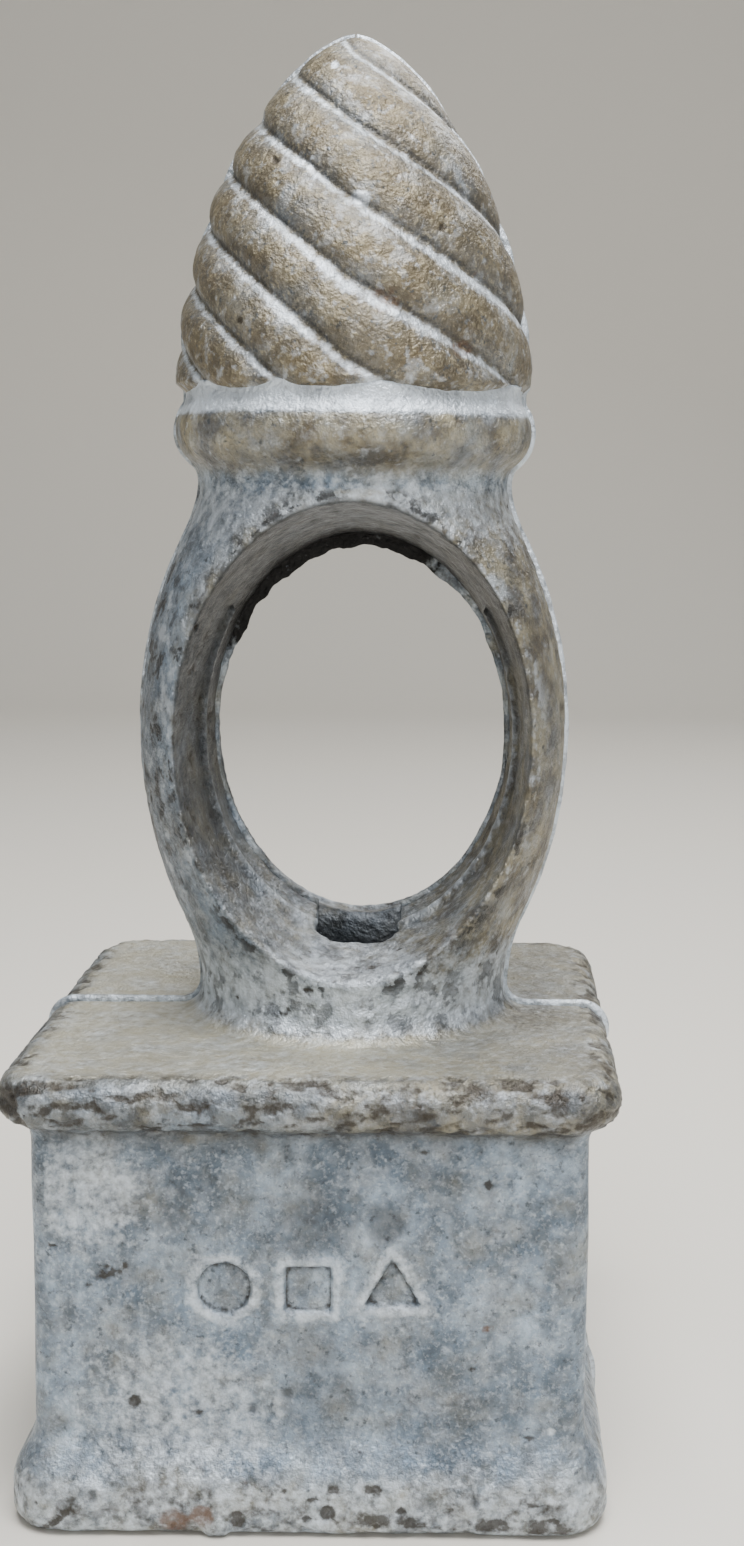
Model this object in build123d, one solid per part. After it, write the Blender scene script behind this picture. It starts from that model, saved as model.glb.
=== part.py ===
"""Cast finial of a railway semaphore signal post: square socket, pierced ring and spiral acorn.

Millimetres. +Z is up, the socket's open rim stands on z = 0, and the origin is the centre of the
square socket. The casting is two half shells, front and back, that meet at y = 0.
"""
import os
from math import cos, pi, radians, sin

from build123d import *

# ---- square socket and its top plate
body_width = 159.6          # outside of the plain part of the box
wall = 7.0                  # thickness of the box and its top plate
socket_corner = 1.0         # radius of the upright corners inside the socket
body_corner = wall + socket_corner
plate_top = 135.2           # height of the plate's flat top
plate_over = 9.2            # how far the rounded nosing overhangs the box
nosing_radius = 8.0
nosing_cove = 3.5           # drop of the cove under the nosing
cove_end = 50.0             # where the cove meets the nosing, in degrees below level
rim_over = 7.0              # spread of the box at its open rim
rim_round = 5.0             # rounding of the lower edge
rim_height = 11.0           # height where the rim starts to draw in
flare_top = 31.0            # height where the flare meets the plain box

# ---- turned part that stands on the plate, with its heights above the plate's top
turned_shift = 8.0          # its axis is off the socket's centre, to +X
turned_wall = 6.5
foot_radius = 48.0
foot_fillet = 7.0
lower_radius = 56.8         # on the ring's lower side
lower_rise = 37.8
belly_radius = 66.0         # widest place of the ring
belly_rise = 81.8
upper_radius = 53.6         # on the ring's upper side
upper_rise = 145.3
neck_radius = 47.2
neck_rise = 164.3
bead_gap = 5.5              # cove between the neck and the bead
bead_radius = 54.6
bead_swell = 10.5           # from the bead's bottom to its widest place
bead_width = 18.5           # from the bead's bottom to its top
bead_step = 5.6             # how far the bead stands out of the neck's cove
band_radius = 51.4
band_width = 5.5            # plain band between the bead and the acorn
acorn_radius = 53.2
acorn_height = 102.5
acorn_fullness = 1.8        # exponents of the acorn's outline
acorn_point = 1.55

# ---- spiral flutes of the acorn
flute_count = 8
flute_depth = 2.6
flute_twist = 1.9           # degrees round the axis for each millimetre of height
flute_start = 11.0          # degrees, of one valley at the band
flute_sections = 9
flute_end = 0.95            # share of the acorn's height that the flutes reach
flute_full_radius = 30.0    # the flutes get shallower where the acorn is slimmer than this
flute_tuck = 0.02           # overlap of the plain tip and the fluted part
tip_points = 8
cavity_end = 0.82           # share of the acorn's height that is hollow

# ---- hole through the ring, an oval that widens towards both faces
hole_width = 91.6           # at the seam, y = 0
hole_height = 119.0
hole_rise = 89.2            # from the plate's top to the hole's centre
hole_shift = 2.5            # from the turned axis, to +X
hole_side_draft = 0.18      # growth of each half axis for each millimetre of depth
hole_end_draft = 0.22
hole_reach = 80.0           # depth of the cutter, past the belly
hole_wall = 6.0

# ---- break in the front half's wall at the bottom of the hole
notch_width = 26.0
notch_depth = 22.0
notch_corner = 6.0
notch_shift = 2.0           # from the turned axis, to +X
notch_drop = 16.0           # through the wall

# ---- punched marks on the front face: a disc, a square and a triangle
mark_size = 15.0
mark_pitch = 24.0
mark_height = 72.5
mark_depth = 1.2

# ---- seam between the halves
seam_thickness = 2.4        # along Y
seam_proud = 1.2            # how far it stands out of the casting
seam_root = 2.0             # how far it is let into the casting
seam_start = 1.0            # clear of the surface that the rim stands on
seam_short = 0.5            # stretches shorter than this are drawn straight
seam_span = 6.0             # spacing of the points on the longer ones
fin_thickness = 1.6
fin_height = 1.0            # mean height of the ragged fin at the sides of the ring
fin_rise = 2.2              # how much taller it is at the top
fin_waver = 0.5
fin_root = 1.5
fin_points = 36

# ---- worked out
body_half = body_width / 2
rim_half = body_half + rim_over
nosing_x = body_half + plate_over - nosing_radius
nosing_z = plate_top - nosing_radius
neck_height = plate_top + neck_rise
bead_bottom = neck_height + bead_gap
bead_top = bead_bottom + bead_width
band_height = bead_top + band_width
tip_height = band_height + acorn_height
hole_centre = plate_top + hole_rise
hole_x = turned_shift + hole_shift
notch_x = turned_shift + notch_shift
reach = 2 * tip_height      # longer than anything here, for cutters


def acorn_at(height):
    """Radius of the acorn's envelope at a height above its band."""
    share = min(height / acorn_height, 1.0)
    return acorn_radius * (1 - share**acorn_fullness) ** (1 / acorn_point)


def box_section():
    """Section of the box wall from its rim to the nosing, in the middle of the +X side."""
    inner = body_half - wall
    cove_x = nosing_x + nosing_radius * cos(radians(cove_end))
    cove_z = nosing_z - nosing_radius * sin(radians(cove_end))
    cove_slope = (sin(radians(cove_end)), cos(radians(cove_end)))
    cove_start = nosing_z - nosing_radius - nosing_cove
    with BuildSketch(Plane.XZ) as section:
        with BuildLine():
            Line((inner, 0), (rim_half - rim_round, 0))
            JernArc((rim_half - rim_round, 0), (1, 0), rim_round, 90)
            Line((rim_half, rim_round), (rim_half, rim_height))
            Spline((rim_half, rim_height), (body_half, flare_top), tangents=[(0, 1), (0, 1)])
            Line((body_half, flare_top), (body_half, cove_start))
            Spline((body_half, cove_start), (cove_x, cove_z), tangents=[(0, 1), cove_slope])
            CenterArc((nosing_x, nosing_z), nosing_radius, -cove_end, cove_end + 90)
            Line((nosing_x, plate_top), (inner, plate_top))
            Line((inner, plate_top), (inner, 0))
        make_face()
    return section.sketch


def make_box():
    """The socket and its plate: the section carried round a square with rounded corners."""
    corner = body_half - body_corner
    section = box_section()
    side = extrude(section, amount=corner, both=True)
    corner_axis = Axis((corner, corner, 0), (0, 0, 1))
    turn = revolve(Pos(0, corner, 0) * section, corner_axis, 90)
    box = Part()
    for quarter in range(4):
        box += Rot(0, 0, 90 * quarter) * (side + turn)
    return box


def make_core(bottom, top):
    """Filled inside of the box between two heights, let a little into the wall."""
    size = body_width - wall
    return Pos(0, 0, bottom) * extrude(Rectangle(size, size), amount=top - bottom)


def turned_solid():
    """Outside of the turned part, from the foot to the band under the acorn."""
    foot_z = plate_top + foot_fillet
    foot_x = foot_radius + foot_fillet
    bead_foot = bead_radius - bead_step
    bead_crest = (bead_radius, bead_bottom + bead_swell)
    with BuildSketch(Plane.XZ) as section:
        with BuildLine():
            Line((0, plate_top - wall), (foot_x, plate_top - wall))
            Line((foot_x, plate_top - wall), (foot_x, plate_top))
            JernArc((foot_x, plate_top), (-1, 0), foot_fillet, -90)
            Spline(
                (foot_radius, foot_z),
                (lower_radius, plate_top + lower_rise),
                (belly_radius, plate_top + belly_rise),
                (upper_radius, plate_top + upper_rise),
                (neck_radius, neck_height),
                tangents=[(0, 1), (0, 1)],
            )
            Spline((neck_radius, neck_height), (bead_foot, bead_bottom), tangents=[(0, 1), (1, 1)])
            ThreePointArc((bead_foot, bead_bottom), bead_crest, (band_radius, bead_top))
            Line((band_radius, bead_top), (band_radius, band_height))
            Line((band_radius, band_height), (0, band_height))
            Line((0, band_height), (0, plate_top - wall))
        make_face()
    return Pos(turned_shift, 0, 0) * revolve(section.sketch, Axis.Z)


def acorn_section(share):
    """Flat section of the acorn at a share of its height: lobes that meet in sharp valleys."""
    height = share * acorn_height
    crest = acorn_at(height)
    valley = crest - flute_depth * min(1.0, crest / flute_full_radius)
    pitch = 360 / flute_count
    with BuildSketch(Plane.XY.offset(band_height + height)) as section:
        with BuildLine():
            for lobe in range(flute_count):
                start = radians(flute_start + lobe * pitch - flute_twist * height)
                middle = start + radians(pitch / 2)
                end = start + radians(pitch)
                ThreePointArc(
                    (valley * cos(start), valley * sin(start)),
                    (crest * cos(middle), crest * sin(middle)),
                    (valley * cos(end), valley * sin(end)),
                )
        make_face()
    return section.sketch


def acorn_solid():
    """Spiral-fluted acorn, with a plain turned tip above the flutes."""
    steps = [flute_end * count / flute_sections for count in range(flute_sections + 1)]
    fluted = loft([acorn_section(share) for share in steps])
    tip_share = flute_end - flute_tuck
    rise = [tip_share + (1 - tip_share) * count / tip_points for count in range(tip_points + 1)]
    outline = [(acorn_at(share * acorn_height), band_height + share * acorn_height) for share in rise]
    base = outline[0][1]
    with BuildSketch(Plane.XZ) as section:
        with BuildLine():
            Line((0, base), outline[0])
            Spline(*outline)
            Line(outline[-1], (0, base))
        make_face()
    tip = revolve(section.sketch, Axis.Z)
    return Pos(turned_shift, 0, 0) * (fluted + tip)


def turned_cavity():
    """Inside of the turned part, open to the socket below it."""
    low = plate_top - 2 * wall
    shares = [cavity_end * count / tip_points for count in range(tip_points + 1)]
    dome = [
        (acorn_at(share * acorn_height) - turned_wall, band_height + share * acorn_height)
        for share in shares
    ]
    with BuildSketch(Plane.XZ) as section:
        with BuildLine():
            Line((0, low), (foot_radius - turned_wall, low))
            Line((foot_radius - turned_wall, low), (foot_radius - turned_wall, plate_top))
            Spline(
                (foot_radius - turned_wall, plate_top),
                (lower_radius - turned_wall, plate_top + lower_rise),
                (belly_radius - turned_wall, plate_top + belly_rise),
                (upper_radius - turned_wall, plate_top + upper_rise),
                (neck_radius - turned_wall, neck_height),
                tangents=[(0, 1), (0, 1)],
            )
            Spline((neck_radius - turned_wall, neck_height), *dome)
            Line(dome[-1], (0, dome[-1][1]))
            Line((0, dome[-1][1]), (0, low))
        make_face()
    return Pos(turned_shift, 0, 0) * revolve(section.sketch, Axis.Z)


def hole_oval(grow, depth):
    """Oval of the ring's hole at a distance from the seam, larger all round by grow."""
    side = hole_width / 2 + grow + hole_side_draft * abs(depth)
    end = hole_height / 2 + grow + hole_end_draft * abs(depth)
    return Pos(hole_x, depth, hole_centre) * Rot(90, 0, 0) * Ellipse(side, end)


def hole_cutter(grow=0.0):
    """The hole as a solid: two drafted halves, back to back at the seam."""
    front = loft([hole_oval(grow, 0), hole_oval(grow, -hole_reach)])
    back = loft([hole_oval(grow, 0), hole_oval(grow, hole_reach)])
    return front + back


def notch_cutter():
    """Break in the front wall at the bottom of the hole, with two rounded inner corners."""
    plan = Rectangle(notch_width, 2 * notch_depth)
    plan = fillet(plan.vertices(), notch_corner)
    low = hole_centre - hole_height / 2 - notch_drop
    block = Pos(notch_x, 0, low) * extrude(plan, amount=2 * notch_drop)
    return block & front_half_space()


def front_half_space():
    return Pos(0, -reach / 2, 0) * Box(reach, reach, reach)


def mark_cutters():
    """A disc, a square and a triangle sunk into the front face."""
    face = Plane((0, -body_half, mark_height), x_dir=(1, 0, 0), z_dir=(0, -1, 0))
    shapes = Pos(-mark_pitch, 0) * Circle(mark_size / 2)
    shapes += Rectangle(mark_size * 0.85, mark_size * 0.85)
    shapes += Pos(mark_pitch, 0) * RegularPolygon(mark_size * 0.6, 3, rotation=90)
    return extrude(face * shapes, amount=-mark_depth)


def spaced_outline(face, amount):
    """A face grown or shrunk all round, with its outline redrawn as plain splines."""
    edges = []
    for edge in offset(face, amount).faces()[0].outer_wire().edges():
        if edge.geom_type != GeomType.OFFSET:
            edges.append(edge)
        elif edge.length < seam_short:
            edges.append(Edge.make_line(edge @ 0, edge @ 1))
        else:
            spans = max(3, int(edge.length / seam_span))
            points = [edge @ (count / spans) for count in range(spans + 1)]
            edges.append(Edge.make_spline(points, tangents=[edge % 0, edge % 1]))
    return make_face(edges)


def seam_beads(filled):
    """Raised bead along the outline of the casting, as its left and its right run."""
    outline = section(filled, section_by=Plane.XZ)
    sole = Plane.XZ * Pos(0, -seam_root * 2) * Rectangle(2 * (rim_half - rim_round), seam_root * 4)
    outline = outline + sole
    frame = spaced_outline(outline, seam_proud) - spaced_outline(outline, -seam_root)
    beads = Pos(0, seam_thickness / 2, 0) * extrude(frame, amount=seam_thickness)
    beads = beads & Pos(0, 0, seam_start + reach / 2) * Box(reach, reach, reach)
    left = beads & Pos(turned_shift - reach / 2, 0, reach / 2) * Box(reach, reach, reach)
    return left, beads - left


def ring_fin():
    """Thin ragged fin round the inside of the ring, let into both halves."""
    side = hole_width / 2
    end = hole_height / 2
    points = []
    for count in range(fin_points):
        turn = 2 * pi * count / fin_points
        waver = sin(3 * turn + 0.7) + 0.6 * sin(7 * turn) + 0.4 * sin(12 * turn + 1.9)
        depth = fin_height + fin_rise * max(0.0, sin(turn)) ** 2 + fin_waver * waver / 2
        points.append(((side - depth) * cos(turn), (end - depth) * sin(turn)))
    plane = Plane((hole_x, -fin_thickness / 2, hole_centre), x_dir=(1, 0, 0), z_dir=(0, -1, 0))
    ring = Ellipse(side + fin_root, end + fin_root) - make_face(Spline(*points, periodic=True))
    fin = extrude(plane * ring, amount=-fin_thickness)
    gap = Pos(notch_x, 0, hole_centre - end) * Box(notch_width, 4 * fin_thickness, 4 * notch_drop)
    return fin - gap


def make_parts():
    """Every piece of the finial by its name."""
    outside = make_box() + make_core(plate_top - wall, plate_top) + turned_solid() + acorn_solid()
    hollow = turned_cavity() - hole_cutter(hole_wall)
    casting = outside - hollow - hole_cutter()
    left_bead, right_bead = seam_beads(outside + make_core(0, plate_top))
    fin = ring_fin()
    front_space = front_half_space()
    halves = casting - left_bead - right_bead - fin
    front = (halves & front_space) - notch_cutter() - mark_cutters()
    return {
        "front_half_casting": front,
        "back_half_casting": halves - front_space,
        "left_seam_bead": left_bead,
        "right_seam_bead": right_bead,
        "ring_seam_fin": fin,
    }


os.makedirs("parts", exist_ok=True)
for name, piece in make_parts().items():
    piece.label = name
    export_step(piece, f"parts/{name}.step")
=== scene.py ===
import math
import random

import bmesh
import bpy
import numpy as np
from mathutils import Matrix, Vector, noise
from mathutils.kdtree import KDTree


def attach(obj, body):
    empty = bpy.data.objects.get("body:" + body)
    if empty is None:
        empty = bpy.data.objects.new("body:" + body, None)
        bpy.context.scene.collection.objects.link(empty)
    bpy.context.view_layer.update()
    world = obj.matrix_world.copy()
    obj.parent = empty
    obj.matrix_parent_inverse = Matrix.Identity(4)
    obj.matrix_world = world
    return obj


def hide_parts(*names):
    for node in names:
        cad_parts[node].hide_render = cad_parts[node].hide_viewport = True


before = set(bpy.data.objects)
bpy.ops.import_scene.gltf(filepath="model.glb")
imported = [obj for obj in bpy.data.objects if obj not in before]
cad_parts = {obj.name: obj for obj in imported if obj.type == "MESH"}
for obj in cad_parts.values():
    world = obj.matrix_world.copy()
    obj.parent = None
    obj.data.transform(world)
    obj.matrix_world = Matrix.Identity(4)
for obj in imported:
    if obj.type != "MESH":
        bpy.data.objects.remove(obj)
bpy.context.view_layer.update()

mm = 0.001


# sRGB hex to a linear RGBA
def hexColour(text, alpha=1.0):
    values = [int(text[i:i + 2], 16) / 255 for i in (0, 2, 4)]
    linear = [v / 12.92 if v <= 0.04045 else ((v + 0.055) / 1.055) ** 2.4 for v in values]
    return (*linear, alpha)


# adds one node, sets its properties and unlinked inputs, and links the inputs given as sockets
def addNode(tree, kind, inputs=None, **settings):
    node = tree.nodes.new(kind)
    for name, value in settings.items():
        setattr(node, name, value)
    for name, value in (inputs or {}).items():
        if isinstance(value, bpy.types.NodeSocket):
            tree.links.new(value, node.inputs[name])
        else:
            node.inputs[name].default_value = value
    return node


def linkObject(name, mesh):
    made = bpy.data.objects.new(name, mesh)
    bpy.context.scene.collection.objects.link(made)
    return made


# camera, floor and light
viewCamera = {
    "place": (0.0439, -0.6012, 0.3003),
    "tiltDown": 0.1427,
    "roll": 0.0107,
    "lens": 93.25,
    "sensorWidth": 36.0,
    "shift": (-0.1292, -0.0184),
}


def makeCamera(spec):
    data = bpy.data.cameras.new("viewCamera")
    data.sensor_fit = "HORIZONTAL"
    data.sensor_width = spec["sensorWidth"]
    data.lens = spec["lens"]
    data.shift_x, data.shift_y = spec["shift"]
    data.clip_start = 0.01
    data.clip_end = 20
    camera = bpy.data.objects.new("viewCamera", data)
    turn = Matrix.Rotation(math.pi / 2 - spec["tiltDown"], 4, "X")
    turn = turn @ Matrix.Rotation(spec["roll"], 4, "Z")
    camera.matrix_world = Matrix.Translation(Vector(spec["place"])) @ turn
    bpy.context.scene.collection.objects.link(camera)
    bpy.context.scene.camera = camera


studio = {
    "floorHalf": 4.0,       # to the sides and the front
    "wallBack": 2.4,
    "sweepRadius": 0.5,
    "wallTop": 3.0,
    "floorColour": "e0dbd1",
    "skyColour": "eef2f6",
    "skyStrength": 0.36,
    "lamps": [
        # name, place, size in metres, watts
        ("overheadSoftbox", (0.1, -0.35, 1.4), 0.8, 34.0),
        ("frontFill", (0.5, -1.7, 0.7), 1.0, 8.0),
        ("backLight", (0.5, 1.1, 1.5), 0.9, 16.0),
    ],
    "aim": (0.0, 0.0, 0.2),
}


# a floor that sweeps up into a backdrop behind the object
def makeFloor(spec):
    half = spec["floorHalf"]
    back = spec["wallBack"]
    radius = spec["sweepRadius"]
    outline = [(-half, 0.0)]
    for step in range(13):
        turn = math.radians(90 * step / 12)
        outline.append((back - radius + radius * math.sin(turn), radius - radius * math.cos(turn)))
    outline.append((back, spec["wallTop"]))
    points = [(x, y, z) for y, z in outline for x in (-half, half)]
    faces = [(2 * n, 2 * n + 1, 2 * n + 3, 2 * n + 2) for n in range(len(outline) - 1)]
    mesh = bpy.data.meshes.new("floor")
    mesh.from_pydata(points, [], faces)
    mesh.shade_smooth()
    paint = bpy.data.materials.new("paleFloor")
    paint.use_nodes = True
    shader = paint.node_tree.nodes["Principled BSDF"]
    shader.inputs["Base Color"].default_value = hexColour(spec["floorColour"])
    shader.inputs["Roughness"].default_value = 0.8
    mesh.materials.append(paint)
    linkObject("floor", mesh)


def makeStudio(spec):
    makeFloor(spec)
    world = bpy.data.worlds.new("studioWorld")
    bpy.context.scene.world = world
    world.use_nodes = True
    sky = world.node_tree.nodes["Background"]
    sky.inputs["Color"].default_value = hexColour(spec["skyColour"])
    sky.inputs["Strength"].default_value = spec["skyStrength"]
    for name, place, size, power in spec["lamps"]:
        lamp = bpy.data.lights.new(name, "AREA")
        lamp.size = size
        lamp.energy = power
        made = bpy.data.objects.new(name, lamp)
        aim = (Vector(spec["aim"]) - Vector(place)).to_track_quat("-Z", "Y")
        made.matrix_world = Matrix.Translation(Vector(place)) @ aim.to_matrix().to_4x4()
        bpy.context.scene.collection.objects.link(made)


makeCamera(viewCamera)
makeStudio(studio)
print("camera and studio ready")

# the casting's own sizes, in metres, in the frame's axes
casting = {
    "bodyHalf": 79.8 * mm,
    "plateTop": 135.2 * mm,
    "turnedX": 8.0 * mm,
    "holeX": 10.5 * mm,
    "holeZ": 224.4 * mm,
    "holeSide": 45.8 * mm,
    "holeEnd": 59.5 * mm,
    "sideDraft": 0.18,
    "endDraft": 0.22,
    "bandTop": 329.0 * mm,
    "lipBacking": ((-12 * mm, 0.0, 147 * mm), (32 * mm, 6 * mm, 163.5 * mm)),
}


def smoothStep(low, high, value):
    t = np.clip((value - low) / (high - low), 0.0, 1.0)
    return t * t * (3 - 2 * t)


# how far outside the hole's drafted oval each point is, as a ratio of the oval there
def holeRatio(points):
    depth = np.abs(points[:, 1])
    side = casting["holeSide"] + casting["sideDraft"] * depth
    end = casting["holeEnd"] + casting["endDraft"] * depth
    across = (points[:, 0] - casting["holeX"]) / side
    up = (points[:, 2] - casting["holeZ"]) / end
    return np.sqrt(across ** 2 + up ** 2)


def readPoints(mesh):
    flat = np.empty(len(mesh.vertices) * 3, dtype=np.float32)
    mesh.vertices.foreach_get("co", flat)
    return flat.reshape(-1, 3).astype(float)


def readNormals(mesh):
    flat = np.empty(len(mesh.vertices) * 3, dtype=np.float32)
    mesh.vertex_normals.foreach_get("vector", flat)
    return flat.reshape(-1, 3).astype(float)


def writePoints(mesh, points):
    mesh.vertices.foreach_set("co", points.astype(np.float32).ravel())
    mesh.update()


# value noise summed over octaves, between about -1 and 1, for every point
def fractalNoise(points, size, octaves=1, shift=0.0):
    total = np.zeros(len(points))
    weight = 1.0
    reach = 0.0
    for step in range(octaves):
        scaled = points * (2 ** step / size) + shift + 17.3 * step
        total += weight * np.fromiter((noise.noise(p) for p in scaled), float, len(points))
        reach += weight
        weight *= 0.5
    return total / reach


def storeFloat(mesh, name, values):
    layer = mesh.attributes.get(name) or mesh.attributes.new(name, "FLOAT", "POINT")
    layer.data.foreach_set("value", values.astype(np.float32))


# the evaluated mesh of an object, as a new mesh of its own
def bakeMesh(source, name):
    graph = bpy.context.evaluated_depsgraph_get()
    made = bpy.data.meshes.new_from_object(source.evaluated_get(graph))
    made.name = name
    return made


# spiral acorn
acorn = {
    "height": 102.5 * mm,
    "radius": 53.2 * mm,
    "fullness": 1.8,
    "point": 1.55,
    "fluteDepth": 3.0 * mm,
    "flutes": 8,
    "columns": 430,
    "rows": 132,
    "weld": 0.02 * mm,      # joins the points at the tip and down the back
    "tuck": 3.0 * mm,       # how far its base is let into the band
    "tuckWidth": 0.94,      # width of the part let in, as a share of the base
    "triangles": 150000,
    # which flute crosses the left, middle and right of the front, by height in millimetres
    "left": {"slope": -0.012664, "start": 1.172, "base": 2.0, "gain": 5.73, "bend": -0.73},
    "middle": {"slope": -0.0439, "start": 5.245},
    "right": {"slope": -0.013155, "start": 0.9655, "base": 1.0, "gain": 2.246, "bend": 0.654},
}


# the acorn's formula, step by step: a step's name, its operation and what that works on
def acornSteps(spec):
    left, middle, right = spec["left"], spec["middle"], spec["right"]
    return [
        ("share", "ADD", "rise", 0.5),                      # 0 at the band, 1 at the tip
        ("heightInMm", "DIVIDE", "Height", mm),
        ("up", "MULTIPLY", "share", "heightInMm"),
        ("leftTurn", "MULTIPLY_ADD", "up", left["slope"], left["start"]),
        ("leftLevel", "MULTIPLY_ADD", "leftTurn", left["gain"], left["base"]),
        ("leftSquare", "MULTIPLY", "leftTurn", "leftTurn"),
        ("leftBend", "MULTIPLY", "leftSquare", left["bend"]),
        ("leftFlute", "ADD", "leftLevel", "leftBend"),
        ("middleFlute", "MULTIPLY_ADD", "up", middle["slope"], middle["start"]),
        ("rightTurn", "MULTIPLY_ADD", "up", right["slope"], right["start"]),
        ("rightLevel", "MULTIPLY_ADD", "rightTurn", right["gain"], right["base"]),
        ("rightSquare", "MULTIPLY", "rightTurn", "rightTurn"),
        ("rightBend", "MULTIPLY", "rightSquare", right["bend"]),
        ("rightFlute", "ADD", "rightLevel", "rightBend"),
        # the front is a blend of even turning and a straight run
        ("aside", "ABSOLUTE", "around"),
        ("quarters", "MULTIPLY", "aside", 4.0),
        ("quarter", "MINIMUM", "quarters", 1.0),
        ("quarterAngle", "MULTIPLY", "quarter", math.pi / 2),
        ("quarterSine", "SINE", "quarterAngle"),
        ("halfQuarter", "MULTIPLY", "quarter", 0.5),
        ("bow", "MULTIPLY_ADD", "quarterSine", 0.5, "halfQuarter"),
        ("onRight", "GREATER_THAN", "around", 0.0),
        ("onLeft", "SUBTRACT", 1.0, "onRight"),
        ("rightEdge", "MULTIPLY", "rightFlute", "onRight"),
        ("leftEdge", "MULTIPLY", "leftFlute", "onLeft"),
        ("edge", "ADD", "rightEdge", "leftEdge"),
        ("toEdge", "SUBTRACT", "edge", "middleFlute"),
        ("frontPhase", "MULTIPLY_ADD", "bow", "toEdge", "middleFlute"),
        # the back turns evenly
        ("pastSide", "SUBTRACT", "aside", 0.25),
        ("behind", "MAXIMUM", "pastSide", 0.0),
        ("fromLeft", "SUBTRACT", "Flutes", "leftFlute"),
        ("backSpan", "ADD", "fromLeft", "rightFlute"),
        ("backShare", "MULTIPLY", "behind", "backSpan"),
        ("backTurn", "MULTIPLY", "backShare", -2.0),
        ("sign", "MULTIPLY_ADD", "onRight", 2.0, -1.0),
        ("phase", "MULTIPLY_ADD", "backTurn", "sign", "frontPhase"),
        # convex lobes between sharp valleys
        ("phaseShare", "FRACT", "phase"),
        ("lobeSide", "MULTIPLY_ADD", "phaseShare", 2.0, -1.0),
        ("lobe", "ABSOLUTE", "lobeSide"),
        ("lobeCurve", "POWER", "lobe", 2.4),
        ("swell", "SUBTRACT", "lobeCurve", 0.35),
        # the outline from the band to the tip, less the flutes, which fade out at the tip
        ("risen", "POWER", "share", "Fullness"),
        ("fallen", "SUBTRACT", 1.0, "risen"),
        ("rounding", "DIVIDE", 1.0, "Point"),
        ("crest", "POWER", "fallen", "rounding"),
        ("plain", "MULTIPLY", "crest", "Radius"),
        ("nearTip", "MULTIPLY", "crest", 1.9),
        ("tipShare", "MINIMUM", "nearTip", 1.0),
        ("fade", "POWER", "tipShare", 1.5),
        ("flute", "MULTIPLY", "swell", "Flute Depth"),
        ("cut", "MULTIPLY", "flute", "fade"),
        ("reach", "SUBTRACT", "plain", "cut"),
        ("radius", "MAXIMUM", "reach", 0.0),
        ("angle", "MULTIPLY", "around", 2 * math.pi),
        ("sine", "SINE", "angle"),
        ("cosine", "COSINE", "angle"),
        ("forward", "MULTIPLY", "cosine", "radius"),
        ("pointX", "MULTIPLY_ADD", "sine", "radius", "Axis X"),
        ("pointY", "MULTIPLY", "forward", -1.0),
        ("pointZ", "MULTIPLY_ADD", "share", "Height", "Band Height"),
    ]


def makeAcornTree(spec):
    tree = bpy.data.node_groups.new("spiralAcorn", "GeometryNodeTree")
    tree.interface.new_socket("Geometry", in_out="OUTPUT", socket_type="NodeSocketGeometry")
    sizes = ("Height", "Radius", "Fullness", "Point", "Flute Depth", "Flutes", "Band Height", "Axis X")
    kinds = {
        "NodeSocketFloat": sizes, "NodeSocketInt": ("Columns", "Rows"), "NodeSocketMaterial": ("Material",)}
    for kind, names in kinds.items():
        for name in names:
            tree.interface.new_socket(name, in_out="INPUT", socket_type=kind)
    given = tree.nodes.new("NodeGroupInput").outputs
    grid = addNode(tree, "GeometryNodeMeshGrid", {
        "Size X": 1.0, "Size Y": 1.0, "Vertices X": given["Columns"], "Vertices Y": given["Rows"]})
    place = addNode(tree, "ShaderNodeSeparateXYZ", {
        "Vector": addNode(tree, "GeometryNodeInputPosition").outputs[0]})
    # around is -0.5 to 0.5 with 0 at the front
    known = {name: given[name] for name in sizes}
    known |= {"around": place.outputs["X"], "rise": place.outputs["Y"]}
    for name, operation, *operands in acornSteps(spec):
        inputs = {number: known.get(item, item) for number, item in enumerate(operands)}
        known[name] = addNode(tree, "ShaderNodeMath", inputs, operation=operation).outputs[0]
    point = addNode(tree, "ShaderNodeCombineXYZ", {
        "X": known["pointX"], "Y": known["pointY"], "Z": known["pointZ"]})
    # the phase is kept before the grid is bent, because it is worked out from the flat grid
    kept = addNode(tree, "GeometryNodeStoreNamedAttribute", {
        "Geometry": grid.outputs["Mesh"], "Name": "phase", "Value": known["phaseShare"]},
        data_type="FLOAT", domain="POINT")
    moved = addNode(tree, "GeometryNodeSetPosition", {
        "Geometry": kept.outputs[0], "Position": point.outputs[0]})
    welded = addNode(tree, "GeometryNodeMergeByDistance", {
        "Geometry": moved.outputs[0], "Distance": spec["weld"]})
    whole = addNode(tree, "GeometryNodeRealizeInstances", {"Geometry": welded.outputs[0]})
    painted = addNode(tree, "GeometryNodeSetMaterial", {
        "Geometry": whole.outputs[0], "Material": given["Material"]})
    out = tree.nodes.new("NodeGroupOutput")
    tree.links.new(painted.outputs[0], out.inputs[0])
    return tree


def makeAcornMesh(spec, material):
    tree = makeAcornTree(spec)
    carrier = linkObject("acornCarrier", bpy.data.meshes.new("acornCarrier"))
    modifier = carrier.modifiers.new("acorn", "NODES")
    modifier.node_group = tree
    values = {
        "Height": spec["height"], "Radius": spec["radius"], "Fullness": spec["fullness"],
        "Point": spec["point"], "Flute Depth": spec["fluteDepth"], "Flutes": float(spec["flutes"]),
        "Band Height": casting["bandTop"], "Axis X": casting["turnedX"],
        "Columns": spec["columns"], "Rows": spec["rows"], "Material": material,
    }
    for socket in tree.interface.items_tree:
        if socket.in_out == "INPUT":
            modifier[socket.identifier] = values[socket.name]
    mesh = bakeMesh(carrier, "acornSkin")
    bpy.data.objects.remove(carrier)
    return mesh


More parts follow.
